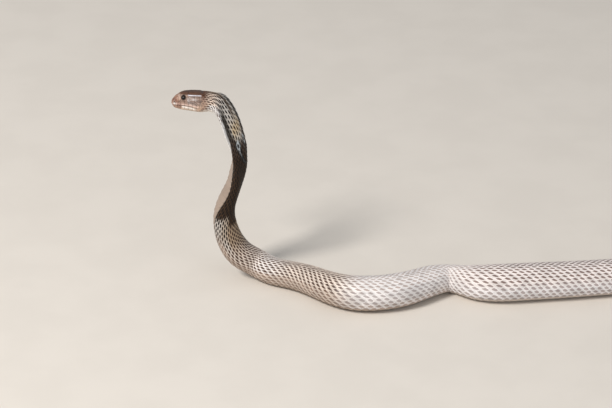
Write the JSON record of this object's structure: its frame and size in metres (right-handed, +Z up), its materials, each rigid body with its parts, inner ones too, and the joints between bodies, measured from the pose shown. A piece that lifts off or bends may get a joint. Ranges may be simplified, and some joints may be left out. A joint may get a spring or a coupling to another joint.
{
  "type": "indian cobra",
  "caption": "Life-size still model of an Indian cobra, reared up with its hood half spread and its body laid in loose bends on the floor.",
  "frame": {"origin": "on the floor under the middle of the belly, at the first bend of the body that lies on the floor", "axes": "+Z up; the head points along -X and the body runs along +X behind it; -Y is the snake's left side where it rears up"},
  "size_m": [0.941, 0.3465, 0.2244],
  "materials": {
    "head": "smooth reddish brown head shields with a low sheen",
    "lower_jaw": "smooth cream and pink jaw shields",
    "eyes": "glossy, almost black",
    "hood": "dark brown scales with pale skin between, pale throat",
    "forebody": "brown scales with pale edges, cream belly scutes",
    "body": "pale brown scales with off-white edges and a soft sheen",
    "tail": "pale brown scales with off-white edges and a soft sheen"
  },
  "bodies": {
    "root": {"head": "head", "lower_jaw": "lower_jaw", "eye_left": "eyes", "eye_right": "eyes", "hood": "hood", "raised_forebody": "forebody", "front_body_1": "body", "front_body_2": "body", "mid_body_1": "body", "mid_body_2": "body", "mid_body_3": "body", "rear_body_1": "body", "rear_body_2": "body", "rear_body_3": "body", "tail_base": "tail", "tail_tip": "tail"}
  },
  "joints": []
}
